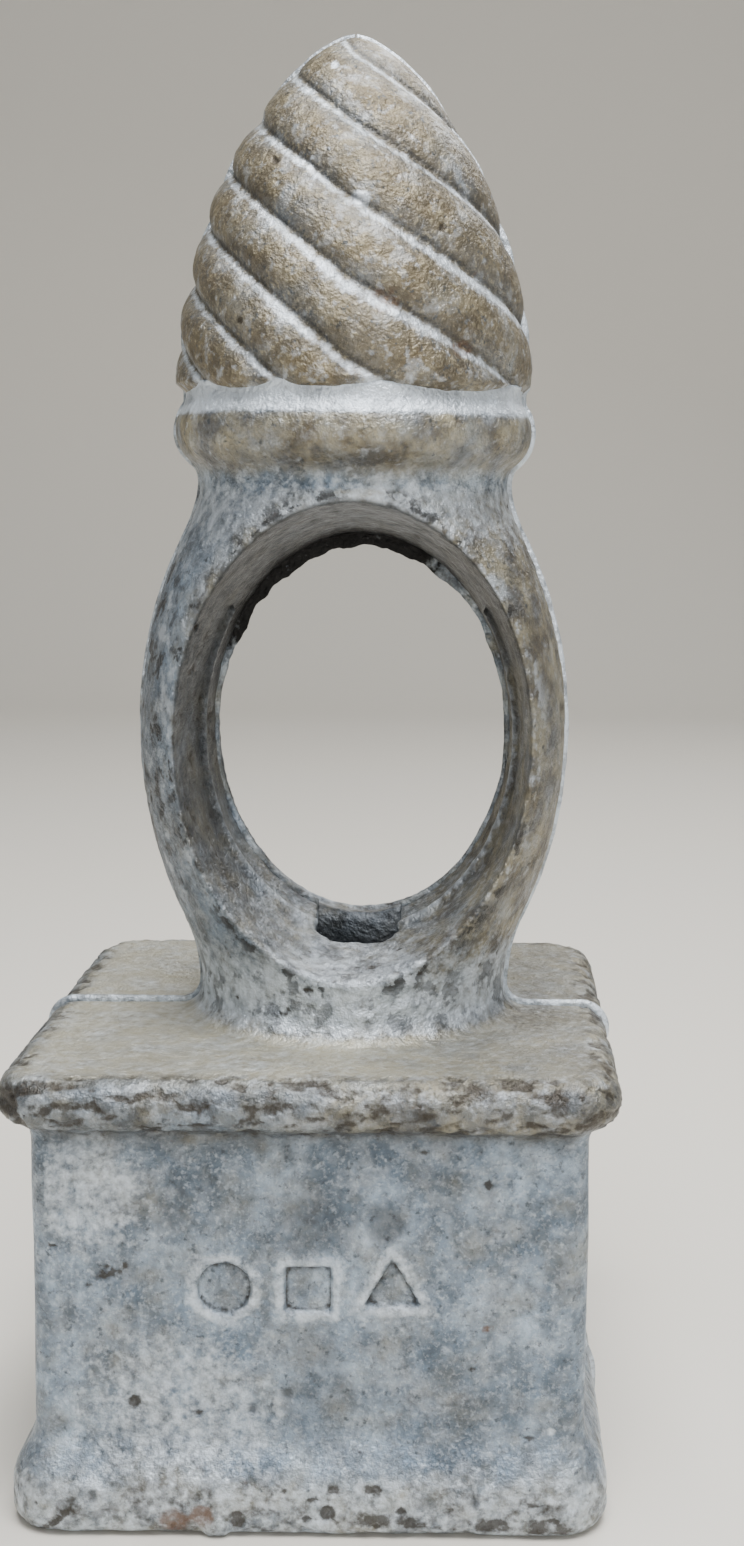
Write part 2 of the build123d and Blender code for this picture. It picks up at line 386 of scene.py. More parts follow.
# Weathered zinc casting: dull blue-grey metal under a thin matt oxide, so it is half metal and half
# chalk to the eye. Surface fields on the mesh say where it is pitted, warm, blackened, chalky or rusty,
# and where shade and highlights are painted into its colour.
zinc = {
    "nearBlack": "2c2a27",
    "shadeGrey": "35373a",
    "darkGrey": "484f56",
    "blueGrey": "788a9d",
    "paleGrey": "aec0d2",
    "chalk": "e2ebf4",
    "cream": "b6ab8b",
    "dust": "aca690",
    "warmBrown": "6c6049",
    "pitBrown": "38322a",
    "blackening": "161514",
    "rust": "6d4e38",
    "blotch": 26.0,         # millimetres across a cloud of oxide
    "mottle": 6.0,
    "grain": 1.3,
    "fleck": 2.2,
    "curd": 7.5,            # millimetres across a pale curdled patch
    "warmPatch": 9.0,
    "pebble": 3.6,
    "flake": 7.0,           # millimetres across a flake of lifted skin
    "metallic": 0.6,
    "roughness": (0.34, 0.6),
    "bump": 0.9,
    "bumpHeight": 0.9 * mm,
}


def makeZinc(name, spec, acornTone=False):
    paint = bpy.data.materials.new(name)
    paint.use_nodes = True
    tree = paint.node_tree
    shader = tree.nodes["Principled BSDF"]
    place = addNode(tree, "ShaderNodeTexCoord").outputs["Object"]
    fields = {}
    for field in ("warm", "bloomAndHighlight", "dust", "flake", "shade", "rust", "pit", "blackening"):
        fields[field] = addNode(tree, "ShaderNodeAttribute", attribute_name=field).outputs["Fac"]

    # noise of a real size in millimetres, spread by a ramp between two levels
    def cloud(size, low, high, detail=4.0, shift=0.0, stretch=(1, 1, 1)):
        moved = addNode(tree, "ShaderNodeMapping", {
            "Vector": place, "Location": (shift, shift * 0.7, shift * 1.3), "Scale": stretch})
        pattern = addNode(tree, "ShaderNodeTexNoise", {
            "Vector": moved.outputs[0], "Scale": 1000 / size, "Detail": detail, "Roughness": 0.6})
        spread = addNode(tree, "ShaderNodeMapRange", {
            "Value": pattern.outputs["Fac"], "From Min": low, "From Max": high})
        return spread.outputs["Result"]

    # a field broken up by noise, so that its edge is ragged
    def ragged(field, noiseMask, soft=0.28):
        total = addNode(tree, "ShaderNodeMath", {0: fields[field], 1: noiseMask}, operation="ADD")
        spread = addNode(tree, "ShaderNodeMapRange", {
            "Value": total.outputs[0], "From Min": 1.0 - soft, "From Max": 1.0 + soft})
        return spread.outputs["Result"]

    # lays each colour over the last, as far as the product of its masks says
    def layered(under, layers):
        for over, mask, *factors in layers:
            for factor in factors:
                product = addNode(tree, "ShaderNodeMath", {0: mask, 1: factor}, operation="MULTIPLY",
                                  use_clamp=True)
                mask = product.outputs[0]
            over = hexColour(spec[over]) if isinstance(over, str) else over
            mixed = addNode(tree, "ShaderNodeMix", {0: mask, 6: under, 7: over}, data_type="RGBA")
            under = mixed.outputs[2]
        return under

    mottle = cloud(spec["mottle"], 0.4, 0.62, detail=6.0, shift=0.31)
    grain = cloud(spec["grain"], 0.32, 0.68, detail=3.0, shift=0.77)
    warmTone = layered(hexColour(spec["cream"]), [
        ("warmBrown", cloud(spec["warmPatch"], 0.4, 0.6, detail=6.0, shift=0.12)),
        ("darkGrey", grain, 0.3),
    ])
    layers = [
        ("paleGrey", cloud(spec["blotch"], 0.41, 0.6)),
        ("darkGrey", cloud(spec["blotch"], 0.38, 0.62, shift=0.5, stretch=(1.6, 1.6, 0.45)), 0.58),
        ("darkGrey", mottle, 0.56),
        ("chalk", cloud(spec["curd"], 0.5, 0.7, detail=9.0, shift=0.27), 0.3),
        ("chalk", cloud(spec["grain"], 0.518, 0.68, detail=3.0, shift=0.77), 0.297),
        (warmTone, ragged("warm", cloud(12.0, 0.2, 0.8), 0.6), 0.9),
    ]
    if acornTone:
        layers += [
            ("warmBrown", cloud(14.0, 0.12, 0.5, detail=6.0, shift=0.9), 0.74),
            ("cream", cloud(spec["grain"], 0.536, 0.68, detail=3.0, shift=0.77), 0.48),
        ]
    layers += [
        ("darkGrey", cloud(spec["fleck"], 0.58, 0.7, shift=0.19), 0.8),
        # pale where the bloom field says: real oxide bloom in places, painted highlight in others
        ("chalk", ragged("bloomAndHighlight", cloud(3.2, 0.25, 0.75, detail=6.0, shift=0.42), 0.34), 0.88),
        ("dust", fields["dust"], cloud(16.0, 0.1, 0.6, detail=3.0, shift=0.66)),
        # flaking skin: pale where it is thin, nearly black where it has come away
        ("chalk", cloud(spec["flake"], 0.46, 0.36, detail=8.0, shift=0.35), 0.72, fields["flake"]),
        ("nearBlack", cloud(spec["flake"], 0.54, 0.59, detail=8.0, shift=0.35), 0.92, fields["flake"]),
        # painted shade, and the dark fills and stains on the front
        ("shadeGrey", fields["shade"], 0.9),
        ("rust", ragged("rust", cloud(2.6, 0.2, 0.8, detail=6.0, shift=0.6)), 0.7),
        ("pitBrown", ragged("pit", cloud(2.0, 0.2, 0.8, detail=3.0, shift=0.05), 0.3), 0.85),
        # nearly black at the top of the hole and along the fin's upper edge
        ("blackening", ragged("blackening", cloud(3.5, 0.2, 0.8, detail=5.0, shift=0.08), 0.22)),
    ]
    tree.links.new(layered(hexColour(spec["blueGrey"]), layers), shader.inputs["Base Color"])

    uneven = addNode(tree, "ShaderNodeMix", {0: 0.4, 2: mottle, 3: grain}, data_type="FLOAT")
    rough = addNode(tree, "ShaderNodeMapRange", {
        "Value": uneven.outputs[0], "To Min": spec["roughness"][0], "To Max": spec["roughness"][1]})
    tree.links.new(rough.outputs["Result"], shader.inputs["Roughness"])
    shader.inputs["Metallic"].default_value = spec["metallic"]

    pebbled = cloud(spec["pebble"], 0.2, 0.8, detail=5.0, shift=0.23)
    relief = addNode(tree, "ShaderNodeMix", {0: 0.3, 2: pebbled, 3: grain}, data_type="FLOAT")
    bump = addNode(tree, "ShaderNodeBump", {
        "Height": relief.outputs[0], "Strength": spec["bump"], "Distance": spec["bumpHeight"]})
    tree.links.new(bump.outputs["Normal"], shader.inputs["Normal"])
    return paint


castZinc = makeZinc("weatheredCastZinc", zinc)
acornZinc = makeZinc("weatheredFlutedZinc", zinc, acornTone=True)
print("finishes ready")


# cast skin of the two halves
skin = {
    "voxel": 1.15 * mm,
    "smoothing": 5,
    "seed": 26,
    "swell": (26.0 * mm, 0.45 * mm),        # size and height of the slow unevenness
    "ripple": (7.0 * mm, 0.28 * mm),        # size and height of the cast texture
    "rippleLevels": (0.55, {"foot": 0.9, "nosing": 0.5, "base": 0.5}),
    "grit": (2.8 * mm, 0.16 * mm),
    "gritLevels": (0.5, {"nosing": 0.9, "ring": 0.9, "foot": 0.7}),
    "lumps": (8.5 * mm, 1.9 * mm),
    "chip": 4.2 * mm,
    "ringChip": 5.2 * mm,
    "chipDepth": 0.55 * mm,
    "triangles": 190000,
    "pits": {
        # region: how many, smallest and largest radius, depth as a share of the radius
        "nosing": (34, 0.9 * mm, 1.9 * mm, 0.42),
        "base": (22, 0.9 * mm, 2.0 * mm, 0.4),
        "ring": (14, 0.8 * mm, 1.5 * mm, 0.3),
        "foot": (16, 0.9 * mm, 1.6 * mm, 0.3),
        "box": (9, 0.8 * mm, 1.4 * mm, 0.45),
    },
    "ledge": (15 * mm, 1.6 * mm, 1.6 * mm),     # step inside the ring: depth, width and height
}


# where on the casting each point lies, as weights between 0 and 1
def regionsOf(points):
    x, y, z = points.T
    reach = np.maximum(np.abs(x), np.abs(y))
    axis = np.hypot(x - casting["turnedX"], y)
    ratio = holeRatio(points)
    outer = smoothStep(-2 * mm, 0.5 * mm, reach - casting["bodyHalf"])
    top = casting["plateTop"]
    turned = smoothStep(top - 2 * mm, top + 6 * mm, z) * (axis < 72 * mm)
    nosing = smoothStep(top - 21 * mm, top - 15 * mm, z) * smoothStep(78 * mm, 81 * mm, reach)
    return {
        "outer": outer,
        "box": outer * smoothStep(20 * mm, 26 * mm, z) * (1 - smoothStep(112 * mm, 117 * mm, z)),
        "base": outer * (1 - smoothStep(13 * mm, 22 * mm, z)),
        "nosing": nosing * (z < top + 1 * mm),
        "plate": smoothStep(top - 4 * mm, top - 1 * mm, z) * (z < top + 5 * mm) * (reach < 83 * mm),
        "foot": turned * (1 - smoothStep(top + 18 * mm, top + 34 * mm, z)),
        "turned": turned,
        "lip": turned * (ratio > 0.97) * (1 - smoothStep(1.02, 1.16, ratio)) * (z < 298 * mm),
        "hole": turned * (1 - smoothStep(1.0, 1.03, ratio)) * (z < 300 * mm),
        "ring": turned * smoothStep(top + 12 * mm, top + 26 * mm, z)
        * (1 - smoothStep(292 * mm, 300 * mm, z)),
        "bead": (axis < 72 * mm) * smoothStep(300 * mm, 306 * mm, z),
    }


# the faces a viewer can reach, so that nothing is worked on inside the casting
def isOutside(points, regions):
    x, y, z = points.T
    axis = np.hypot(x - casting["turnedX"], y)
    shell = (regions["outer"] > 0.1) | (regions["nosing"] > 0.05)
    plate = (z > casting["plateTop"] - 3.5 * mm) & (z < casting["plateTop"] + 6 * mm) & (axis > 40 * mm)
    radius = np.interp(z, np.array([135.2, 173, 217, 280.5, 299.5, 305, 315.5, 323.5, 331]) * mm,
                       np.array([48, 56.8, 66, 53.6, 47.2, 49, 54.6, 51.4, 51.4]) * mm)
    turned = (z > casting["plateTop"]) & (axis > radius - 4.0 * mm)
    bore = (z > casting["plateTop"]) & (holeRatio(points) < 1.06) & (z < 300 * mm)
    return shell | plate | turned | bore


# presses a soft-edged dent or mark: depth in the middle, nothing past the edge
def pressed(distance, radius, depth):
    return depth * (1 - smoothStep(radius * 0.45, radius, distance))


marks = {
    "size": 15 * mm,
    "pitch": 24 * mm,
    "height": 72.5 * mm,
    "depth": 1.6 * mm,
    "halo": 0.45 * mm,
    "haloOut": 1.6 * mm,
    "haloWidth": 2.0 * mm,
    "edge": 1.6 * mm,
}


# signed distance from the outline of each mark, on the front face
def markDistance(points):
    x = points[:, 0]
    up = points[:, 2] - marks["height"]
    disc = np.hypot(x + marks["pitch"], up) - marks["size"] / 2
    side = marks["size"] * 0.425
    square = np.maximum(np.abs(x), np.abs(up)) - side
    across = x - marks["pitch"]
    inner = marks["size"] * 0.3
    slopes = [up * math.cos(a) + across * math.sin(a) for a in (math.pi, math.pi / 3, -math.pi / 3)]
    triangle = np.maximum.reduce(slopes) - inner
    return np.minimum(np.minimum(disc, square), triangle)


# single flaws on the front: x, z, radius, depth in millimetres and the field that colours them
frontFlaws = [
    (51, 104, 1.6, 0.8, "pit"), (-50, 38, 2.3, 1.0, "pit"), (-16, 36, 1.8, 0.9, "dark"),
    (-6, 41, 2.1, 0.9, "dark"), (6, 8, 2.8, 1.1, "pit"), (0, 6, 1.7, 0.8, "pit"),
    (47, 49, 1.0, 0.6, "pit"), (-63, 12, 6.5, -1.1, "plain"), (46, 12, 6.0, -0.9, "plain"),
    (-61, 13, 2.0, 0.9, "dark"), (48, 12, 1.8, 0.8, "dark"), (51, 61, 1.5, 0.5, "rust"),
    (70, 30, 1.6, 0.6, "bloomAndHighlight"), (76, 10, 2.4, 0.8, "bloomAndHighlight"), (73, 13, 2.0, 0.8, "bloomAndHighlight"),
    (-38, 5, 5.0, 0.3, "rust"), (-30, 7, 4.0, 0.3, "rust"), (22, 92, 6.5, 0.15, "dark"),
    (-26, 2, 4.5, -1.4, "plain"), (-20, 6, 3.0, 0.6, "pit"), (30, 5, 2.4, 0.8, "pit"),
    (-84, 128, 4.5, 1.6, "pit"), (-80, 122, 2.6, 1.2, "pit"), (-72, 127, 1.8, 1.0, "pit"),
]


# larger stains and lines on the front, in millimetres
stains = {
    # x, z, half width and half height
    "pale": [((-38, 34, 40, 34), 0.42), ((-62, 100, 22, 26), 0.46)],
    "dark": [(2, 92, 18, 16), (2, 44, 13, 26), (4, 118, 30, 9)],
    "streak": 6 * mm,
    "worn": (66, -16, 16, 24),                  # on the plate beside the foot, by x and y
    "scratch": ((-64, 73), (-52, 79), 0.9),     # from, to and width
    "crack": ((-67, 9), (-80, -2), 1.0),
    "lowerRimLine": ((16, 6), (76, 4), 2.6),
}


# a copy of a CAD node's mesh, and its merged shape to work on
def copyNode(node, name):
    copied = linkObject(name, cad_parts[node].data.copy())
    copied.data.materials.clear()
    shape = bmesh.new()
    shape.from_mesh(copied.data)
    bmesh.ops.remove_doubles(shape, verts=shape.verts, dist=0.01 * mm)
    return copied, shape


# an even voxel skin over a shape, softened a little
def voxelSkin(copied, shape, name, voxel, smoothing):
    shape.to_mesh(copied.data)
    shape.free()
    remesh = copied.modifiers.new("remesh", "REMESH")
    remesh.mode = "VOXEL"
    remesh.voxel_size = voxel
    soften = copied.modifiers.new("soften", "SMOOTH")
    soften.factor = 0.5
    soften.iterations = smoothing
    mesh = bakeMesh(copied, name)
    bpy.data.objects.remove(copied)
    return mesh


def makeHalfMesh(node, name):
    copied, shape = copyNode(node, name)
    if node == "back_half_casting":
        # solid metal behind the break in the front half's lip
        low, high = casting["lipBacking"]
        made = bmesh.ops.create_cube(shape, size=1.0)
        for vertex in made["verts"]:
            share = vertex.co + Vector((0.5, 0.5, 0.5))
            vertex.co = Vector([low[n] + (high[n] - low[n]) * share[n] for n in range(3)])
    # the plain acorn goes inside the fluted one, and so does everything above the band
    for vertex in shape.verts:
        if vertex.co.z > casting["bandTop"] + 0.2 * mm:
            vertex.co.x = casting["turnedX"] + 0.86 * (vertex.co.x - casting["turnedX"])
            vertex.co.y *= 0.86
            vertex.co.z = casting["bandTop"] + 0.9 * (vertex.co.z - casting["bandTop"])
    return voxelSkin(copied, shape, name, skin["voxel"], skin["smoothing"])


def scatterPits(points, regions, chance):
    move = np.zeros(len(points))
    pit = np.zeros(len(points))
    tree = KDTree(len(points))
    for index, point in enumerate(points):
        tree.insert(point, index)
    tree.balance()
    for region, (count, small, large, share) in skin["pits"].items():
        weight = regions[region] * regions["visible"] * (np.abs(points[:, 1]) > 2 * mm)
        candidates = np.flatnonzero(weight > 0.5)
        for _ in range(count):
            centre = points[candidates[chance.randrange(len(candidates))]]
            radius = small + (large - small) * chance.random() ** 2.2
            stretch = 1 + 1.4 * chance.random()
            for co, index, distance in tree.find_range(Vector(centre), radius * stretch):
                offset = points[index] - centre
                flat = math.hypot(offset[0] / stretch, offset[1], offset[2])
                depth = float(pressed(np.array(flat), radius, radius * share))
                move[index] = min(move[index], -depth)
                pit[index] = max(pit[index], depth / (radius * share))
    return move, pit


def farFromSeam(points):
    return smoothStep(14 * mm, 24 * mm, np.abs(points[:, 1]))


# a soft oval patch on the front, in millimetres
def patch(x, z, centreX, centreZ, halfWidth, halfHeight):
    reach = np.hypot((x / mm - centreX) / halfWidth, (z / mm - centreZ) / halfHeight)
    return 1 - smoothStep(0.35, 1.0, reach)


# a soft line on the front, in millimetres
def stroke(x, z, start, end, width):
    along = np.array(end, float) - np.array(start, float)
    length = np.hypot(*along)
    dx = x / mm - start[0]
    dz = z / mm - start[1]
    share = np.clip((dx * along[0] + dz * along[1]) / length ** 2, 0, 1)
    distance = np.hypot(dx - share * along[0], dz - share * along[1])
    return 1 - smoothStep(width * 0.5, width * 1.2, distance)


# how far the cast skin stands out, and where its edges are chipped
def castSurface(points, regions):
    x, y, z = points.T
    flat = 1 - 0.5 * regions["box"]
    size, height = skin["swell"]
    move = fractalNoise(points, size, 1, 3.1) * height * (1 - 0.5 * regions["bead"])
    for layer, octaves, shift in (("ripple", 2, 8.4), ("grit", 1, 1.7)):
        size, height = skin[layer]
        level, extra = skin[layer + "Levels"]
        for region, share in extra.items():
            level = level + share * regions[region]
        move += fractalNoise(points, size, octaves, shift) * height * level * flat
    # lumps of rough skin on the foot
    size, height = skin["lumps"]
    lumps = np.maximum(0, fractalNoise(points, size, 2, 5.2)) * height
    move += lumps * regions["foot"] * farFromSeam(points)
    # long flat chips along the nosing and the base, rounder ones on the ring
    flatter = points * np.array((0.6, 0.6, 1.5))
    chips = smoothStep(-0.04, 0.2, fractalNoise(flatter, skin["chip"], 4, 11.6))
    chips *= np.maximum(regions["nosing"], regions["base"])
    onRing = smoothStep(0.08, 0.42, fractalNoise(points, skin["ringChip"], 3, 11.6))
    eaten = np.maximum(chips, onRing * regions["ring"])
    leftRim = regions["lip"] * (1 - smoothStep(-40 * mm, -22 * mm, x))
    where = np.maximum.reduce((regions["nosing"], 0.5 * regions["base"], 0.7 * leftRim))
    depth, width, height = skin["ledge"]
    ledge = np.exp(-((np.abs(y) - depth) / width) ** 2) * regions["hole"] * (z < 262 * mm)
    move += ledge * height - eaten * skin["chipDepth"] * where
    chipped = 0.75 * eaten * np.maximum.reduce((regions["nosing"], 0.6 * regions["base"], leftRim))
    return move, chipped, ledge


# marks, flaws and stains that only the front has; changes points and the fields in place
def workFront(points, normals, regions, move, fields):
    x, y, z = points.T
    visible = regions["visible"]
    onFace = (regions["outer"] > 0.5) & (normals[:, 1] < -0.5) & (z < 124 * mm)
    onFront = (y < -70 * mm) * visible
    distance = markDistance(points)
    zone = onFace & (distance < 8 * mm)
    # the sharp CAD recess is filled first, then the soft-edged mark is pressed in
    points[:, 1] += np.where(zone, -casting["bodyHalf"] - y, 0.0)
    inside = 1 - smoothStep(-marks["edge"] * 0.6, marks["edge"] * 0.4, distance)
    halo = np.exp(-((distance - marks["haloOut"]) / marks["haloWidth"]) ** 2)
    rim = halo * marks["halo"] * (1 - inside)
    move = np.where(zone, 0.5 * move - inside * marks["depth"] + rim, move)

    def deepen(field, values):
        fields[field] = np.maximum(fields[field], values)

    deepen("pit", np.where(zone, 0.6 * inside, 0))
    deepen("shade", np.where(zone, 0.5 * inside, 0))
    deepen("bloomAndHighlight", np.where(zone, 0.55 * halo * (1 - inside), 0))
    strength = {"pit": ("pit", 1.0), "bloomAndHighlight": ("bloomAndHighlight", 0.8), "rust": ("rust", 0.8), "dark": ("shade", 0.7)}
    for flawX, flawZ, radius, depth, kind in frontFlaws:
        distance = np.hypot(x - flawX * mm, z - flawZ * mm)
        mask = (y < -70 * mm) * visible
        move = move - pressed(distance, radius * mm, depth * mm) * mask
        if kind in strength:
            field, share = strength[kind]
            deepen(field, share * (1 - smoothStep(radius * mm * 0.6, radius * mm * 1.15, distance)) * mask)
    for spot, share in stains["pale"]:
        deepen("bloomAndHighlight", patch(x, z, *spot) * onFace * share)
    streaks = 0.6 + 0.5 * fractalNoise(points, stains["streak"], 3, 7.7)
    for spot in stains["dark"]:
        deepen("shade", 0.62 * patch(x, z, *spot) * onFace * streaks)
    deepen("pit", 0.45 * regions["plate"] * patch(x, y, *stains["worn"]))
    deepen("pit", stroke(x, z, *stains["scratch"]) * onFace)
    deepen("pit", stroke(x, z, *stains["crack"]) * onFront)
    # a broken dark line low along the front's bottom rim, just above the floor
    broken = smoothStep(-0.25, 0.2, fractalNoise(points, 5 * mm, 3, 3.3))
    deepen("pit", stroke(x, z, *stains["lowerRimLine"]) * onFront * broken)
    return move


# where the finish is warm, chalky, flaking, blackened and dusty, and where shade and highlights are painted
def coatFields(points, regions, ledge, side):
    x, y, z = points.T
    angle = np.arctan2(z - casting["holeZ"], x - casting["holeX"])
    plate, nosing, hole, ring = (regions[name] for name in ("plate", "nosing", "hole", "ring"))
    foot, base, bead, lip = (regions[name] for name in ("foot", "base", "bead", "lip"))
    ledgeTop = bead * smoothStep(318.5 * mm, 321 * mm, z)
    warm = np.maximum.reduce((
        0.66 * plate, 0.55 * hole, 0.42 * base, 0.3 * foot, 0.85 * (bead - ledgeTop),
        (0.3 + 0.5 * smoothStep(-40 * mm, 70 * mm, x)) * nosing,
        0.6 * lip * smoothStep(230 * mm, 270 * mm, z),
        0.95 * ring * smoothStep(10 * mm, 42 * mm, x),
    ))
    # painted shade: inside the hole, darker towards its top and left; on the ring's left, in the cove under
    # the nosing and under the bead; the ring and the nosing are darkened overall, and the plate towards the
    # right
    upper = smoothStep(-0.1, 0.8, np.sin(angle))
    left = smoothStep(0.3, 1.0, -np.cos(angle))
    shade = np.maximum.reduce((
        0.34 * ring, 0.3 * nosing,
        hole * np.clip(0.42 + 0.56 * upper + 0.3 * left, 0, 0.95),
        0.5 * ring * (1 - smoothStep(-52 * mm, -34 * mm, x)),
        0.42 * plate * smoothStep(0, 70 * mm, x),
        0.62 * smoothStep(110 * mm, 118 * mm, z) * regions["outer"] * (z < 121 * mm),
        0.45 * bead * (1 - smoothStep(306 * mm, 313 * mm, z)),
    ))
    # painted shade on the back half's joint face, where it shows through the break in the front half's lip
    if side > 0:
        low, high = casting["lipBacking"]
        behind = (y < 2 * mm) & (z < 168 * mm) & (x > low[0]) & (x < high[0]) & (z > low[2])
        shade = np.maximum(shade, 0.6 * behind)
    flake = np.maximum.reduce((
        0.5 * nosing, 0.45 * base, 0.6 * foot, 0.22 * bead, lip * (1 - hole), 0.16 * (1 - plate),
        ring * (0.25 + 0.75 * (1 - smoothStep(-50 * mm, -36 * mm, x))),
    ))
    # the bloom field is pale oxide bloom on the foot and base, and painted highlight along the right seam
    # on the foot, along the ledge inside the ring, on the top of the band, round the neck and on the lower
    # inside of the hole; the plate is paler towards the left
    rightSeamFoot = (1 - smoothStep(3 * mm, 9 * mm, np.abs(y))) * foot * (x > 0)
    neck = np.exp(-((z - 292 * mm) / (9 * mm)) ** 2) * regions["turned"]
    bloomAndHighlight = np.maximum.reduce((
        0.8 * rightSeamFoot, 0.62 * foot, 0.4 * base, ledgeTop, 0.7 * ledge, 0.6 * neck,
        0.22 * hole * smoothStep(0.5, 1.0, -np.sin(angle)),
        (0.5 - 0.3 * smoothStep(-40 * mm, 30 * mm, x)) * plate,
    ))
    # the top and upper left of the hole, next to the joint, are painted nearly black
    overSeam = 1 - smoothStep(8 * mm, 20 * mm, np.abs(y))
    blackening = hole * smoothStep(0.55, 0.95, np.cos(angle - 1.95)) * overSeam * 0.62
    dusty = 0.8 - 0.3 * smoothStep(0, 70 * mm, x)
    dust = np.maximum(dusty * plate, 0.35 * nosing)
    return {"warm": warm, "shade": shade, "flake": flake, "bloomAndHighlight": bloomAndHighlight, "blackening": blackening, "dust": dust}


def weatherHalf(mesh, side):
    points = readPoints(mesh)
    normals = readNormals(mesh)
    regions = regionsOf(points)
    regions["visible"] = isOutside(points, regions).astype(float)
    chance = random.Random(skin["seed"] + (0 if side < 0 else 7))
    move, chipped, ledge = castSurface(points, regions)
    pitMove, pit = scatterPits(points, regions, chance)
    move = move + pitMove
    fields = {"pit": pit}
    for field in ("bloomAndHighlight", "shade", "rust"):
        fields[field] = np.zeros(len(points))
    if side < 0:
        move = workFront(points, normals, regions, move, fields)
    coats = coatFields(points, regions, ledge, side)
    coats["dust"] = coats["dust"] * smoothStep(0.6, 0.95, normals[:, 2])
    coats["pit"] = chipped
    for field, values in coats.items():
        fields[field] = np.maximum(fields[field], values) if field in fields else values
    # the joint face stays flat, and the rim stays on the floor
    atSeam = np.abs(points[:, 1]) < 0.5 * mm
    move[atSeam] *= 0.3
    points = points + normals * (move * regions["visible"])[:, None]
    points[atSeam, 1] = 0.0
    points[:, 2] = np.maximum(points[:, 2], 0.0)
    writePoints(mesh, points)
    for field, values in fields.items():
        storeFloat(mesh, field, np.clip(values, 0, 1))


def thinned(mesh, name, triangles):
    carrier = linkObject(name, mesh)
    corners = sum(len(face.vertices) - 2 for face in mesh.polygons)
    if corners > triangles:
        fewer = carrier.modifiers.new("fewer", "DECIMATE")
        fewer.ratio = triangles / corners
        made = bakeMesh(carrier, name)
        carrier.modifiers.clear()
        carrier.data = made
    for face in carrier.data.polygons:
        face.use_smooth = True
    return carrier


def finishPiece(piece, node, finish):
    if not piece.data.materials:
        piece.data.materials.append(finish)
    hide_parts(node)
    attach(piece, "root")
    return piece


halves = {
    "frontHalf": ("front_half_casting", -1, "front_casting"),
    "backHalf": ("back_half_casting", 1, "back_casting"),
}
for name, (node, side, slotName) in halves.items():
    mesh = makeHalfMesh(node, name)
    print(name, "remeshed,", len(mesh.vertices), "vertices")
    weatherHalf(mesh, side)
    piece = thinned(mesh, name, skin["triangles"])
    finishPiece(piece, node, castZinc)
    print(name, "weathered,", len(piece.data.polygons), "faces")


# single flaws on the acorn: x, z, radius, depth in millimetres and the field that colours them
acornFlaws = [
    (12, 379, 3.0, -0.9, "bloomAndHighlight"), (3, 420, 1.4, 0.3, "bloomAndHighlight"), (-4, 412, 1.2, 0.4, "bloomAndHighlight"),
    (-13, 391, 1.5, 0.7, "pit"), (19, 351, 4.5, 0.2, "rust"), (41, 338, 3.4, 0.4, "rust"),
    (-22, 345, 1.3, 0.3, "pit"), (35, 372, 1.4, 0.4, "pit"), (-3, 388, 1.3, -0.5, "bloomAndHighlight"),
    (-5, 390, 0.9, -0.4, "bloomAndHighlight"), (-1, 385, 1.0, -0.5, "bloomAndHighlight"), (-2, 391, 0.8, -0.4, "bloomAndHighlight"),
]


def makeAcornHalf(skinMesh, name, side):
    mesh = skinMesh.copy()
    mesh.name = name
    shape = bmesh.new()
    shape.from_mesh(mesh)
    # a collar below the band's top, so that the shell is let into the casting
    rim = [edge for edge in shape.edges if edge.is_boundary]
    made = bmesh.ops.extrude_edge_only(shape, edges=rim)
    for vertex in (item for item in made["geom"] if isinstance(item, bmesh.types.BMVert)):
        vertex.co.z -= acorn["tuck"]
        vertex.co.x = casting["turnedX"] + acorn["tuckWidth"] * (vertex.co.x - casting["turnedX"])
        vertex.co.y *= acorn["tuckWidth"]
    bmesh.ops.holes_fill(shape, edges=[edge for edge in shape.edges if edge.is_boundary], sides=0)
    every = list(shape.verts) + list(shape.edges) + list(shape.faces)
    bmesh.ops.bisect_plane(
        shape, geom=every, plane_co=(0, 0, 0), plane_no=(0, -side, 0), clear_outer=True)
    bmesh.ops.remove_doubles(shape, verts=shape.verts, dist=0.02 * mm)
    bmesh.ops.holes_fill(shape, edges=[edge for edge in shape.edges if edge.is_boundary], sides=0)
    bmesh.ops.recalc_face_normals(shape, faces=shape.faces)
    shape.to_mesh(mesh)
    shape.free()
    return mesh


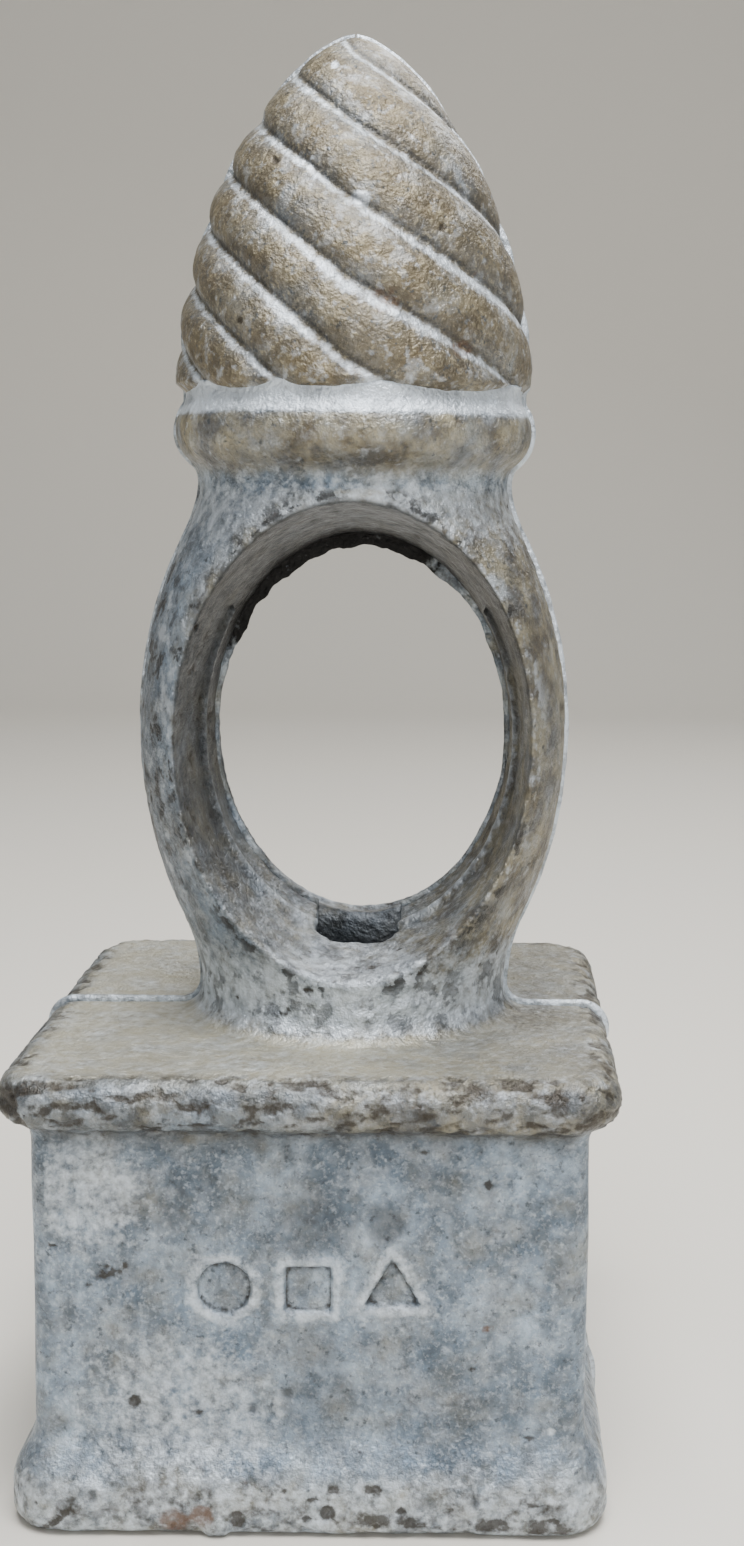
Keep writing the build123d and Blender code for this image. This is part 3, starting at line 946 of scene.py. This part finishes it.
def weatherAcorn(mesh, side):
    points = readPoints(mesh)
    normals = readNormals(mesh)
    phase = np.empty(len(points), dtype=np.float32)
    mesh.attributes["phase"].data.foreach_get("value", phase)
    x, y, z = points.T
    move = fractalNoise(points, 20 * mm, 1, 4.4) * 0.35 * mm
    cast = fractalNoise(points, 6.0 * mm, 2, 9.1)
    move += cast * 0.26 * mm + fractalNoise(points, 2.4 * mm, 1, 2.2) * 0.12 * mm
    # painted highlight on the slope above each valley, which faces up to the light, with some whitening
    # of the metal there; a little paler near the band
    fromValley = np.minimum(phase, 1 - phase)
    middle = np.exp(-((z - 352 * mm) / (16 * mm)) ** 2) * smoothStep(-26 * mm, -6 * mm, x)
    wide = 0.045 + 0.05 * middle
    slope = np.exp(-((phase - 0.02 - wide) / wide) ** 2) + np.exp(-((phase - 1.02 - wide) / wide) ** 2)
    bloomAndHighlight = (0.66 + 0.16 * middle) * slope + 0.1 * (1 - smoothStep(330 * mm, 345 * mm, z))
    pit = np.zeros(len(points))
    rust = np.zeros(len(points))
    warm = 0.62 * smoothStep(0.12, 0.35, fromValley) + 0.22
    if side < 0:
        for flawX, flawZ, radius, depth, kind in acornFlaws:
            distance = np.hypot(x - flawX * mm, z - flawZ * mm)
            move -= pressed(distance, radius * mm, depth * mm) * (np.abs(y) > 4 * mm)
            amount = 1 - smoothStep(radius * mm * 0.5, radius * mm * 1.2, distance)
            if kind == "bloomAndHighlight":
                bloomAndHighlight = np.maximum(bloomAndHighlight, amount * 0.85)
            elif kind == "rust":
                rust = np.maximum(rust, amount * 0.5)
            else:
                pit = np.maximum(pit, amount)
    atSeam = np.abs(y) < 0.01 * mm
    away = smoothStep(0.0, 1.5 * mm, np.abs(y))
    points = points + normals * (move * away)[:, None]
    points[atSeam, 1] = 0.0
    writePoints(mesh, points)
    # painted shade: a thin dark line on the upper side of each valley, under the lobe above it
    shade = 0.75 * np.exp(-((phase - 0.955) / 0.035) ** 2)
    fields = {"pit": pit, "warm": warm, "bloomAndHighlight": bloomAndHighlight, "rust": rust, "shade": shade}
    fields["flake"] = np.full(len(points), 0.3)
    for label, values in fields.items():
        storeFloat(mesh, label, np.clip(values, 0, 1))


acornSkin = makeAcornMesh(acorn, acornZinc)
for name, (node, side, slotName) in halves.items():
    name = name.replace("Half", "Acorn")
    mesh = makeAcornHalf(acornSkin, name, side)
    weatherAcorn(mesh, side)
    piece = thinned(mesh, name, acorn["triangles"])
    finishPiece(piece, node, acornZinc)
    print(name, "fluted,", len(piece.data.polygons), "faces")


# seam metal
seams = {
    # painted highlight: each seam is made paler by its bloom level, the right bead most, as a bright line
    # along its ridge
    "leftSeam": {"node": "left_seam_bead", "voxel": 0.7 * mm, "waver": 0.35 * mm, "bloomAndHighlight": 0.42},
    "rightSeam": {"node": "right_seam_bead", "voxel": 0.7 * mm, "waver": 0.35 * mm, "bloomAndHighlight": 0.8},
    "ringFin": {
        "node": "ring_seam_fin", "voxel": 0.5 * mm, "waver": 0.3 * mm, "bloomAndHighlight": 0.15,
        "ragged": 1.7 * mm},        # how unevenly its free edge is torn
}


def makeSeam(name, spec):
    copied, shape = copyNode(spec["node"], name)
    mesh = voxelSkin(copied, shape, name, spec["voxel"], 2)
    points = readPoints(mesh)
    normals = readNormals(mesh)
    waver = fractalNoise(points, 9 * mm, 3, 6.6) * spec["waver"]
    points = points + normals * waver[:, None]
    blackening = np.zeros(len(points))
    if "ragged" in spec:
        # the fin's free edge is torn, and it is longest round the top and upper left, where it is painted
        # nearly black
        dx = points[:, 0] - casting["holeX"]
        dz = points[:, 2] - casting["holeZ"]
        angle = np.arctan2(dz, dx)
        edge = 1 - smoothStep(0.955, 0.99, holeRatio(points))
        ring = np.stack((np.cos(angle), np.sin(angle), np.zeros(len(points))), axis=1)
        torn = fractalNoise(ring, 0.16, 4, 2.9)
        upper = smoothStep(0.45, 0.85, np.cos(angle - 1.92))
        inward = edge * (torn * spec["ragged"] * (0.6 + upper) + upper * 0.7 * mm)
        points[:, 0] -= np.cos(angle) * inward
        points[:, 2] -= np.sin(angle) * inward
        blackening = 0.95 * smoothStep(0.6, 0.86, np.cos(angle - 1.88))
    writePoints(mesh, points)
    storeFloat(mesh, "blackening", blackening)
    storeFloat(mesh, "bloomAndHighlight", np.full(len(points), spec["bloomAndHighlight"]))
    storeFloat(mesh, "flake", np.full(len(points), 0.35))
    storeFloat(mesh, "warm", np.full(len(points), 0.35))
    return mesh


for name, spec in seams.items():
    piece = thinned(makeSeam(name, spec), name, skin["triangles"])
    finishPiece(piece, spec["node"], castZinc)
    print(name, "trimmed,", len(piece.data.polygons), "faces")
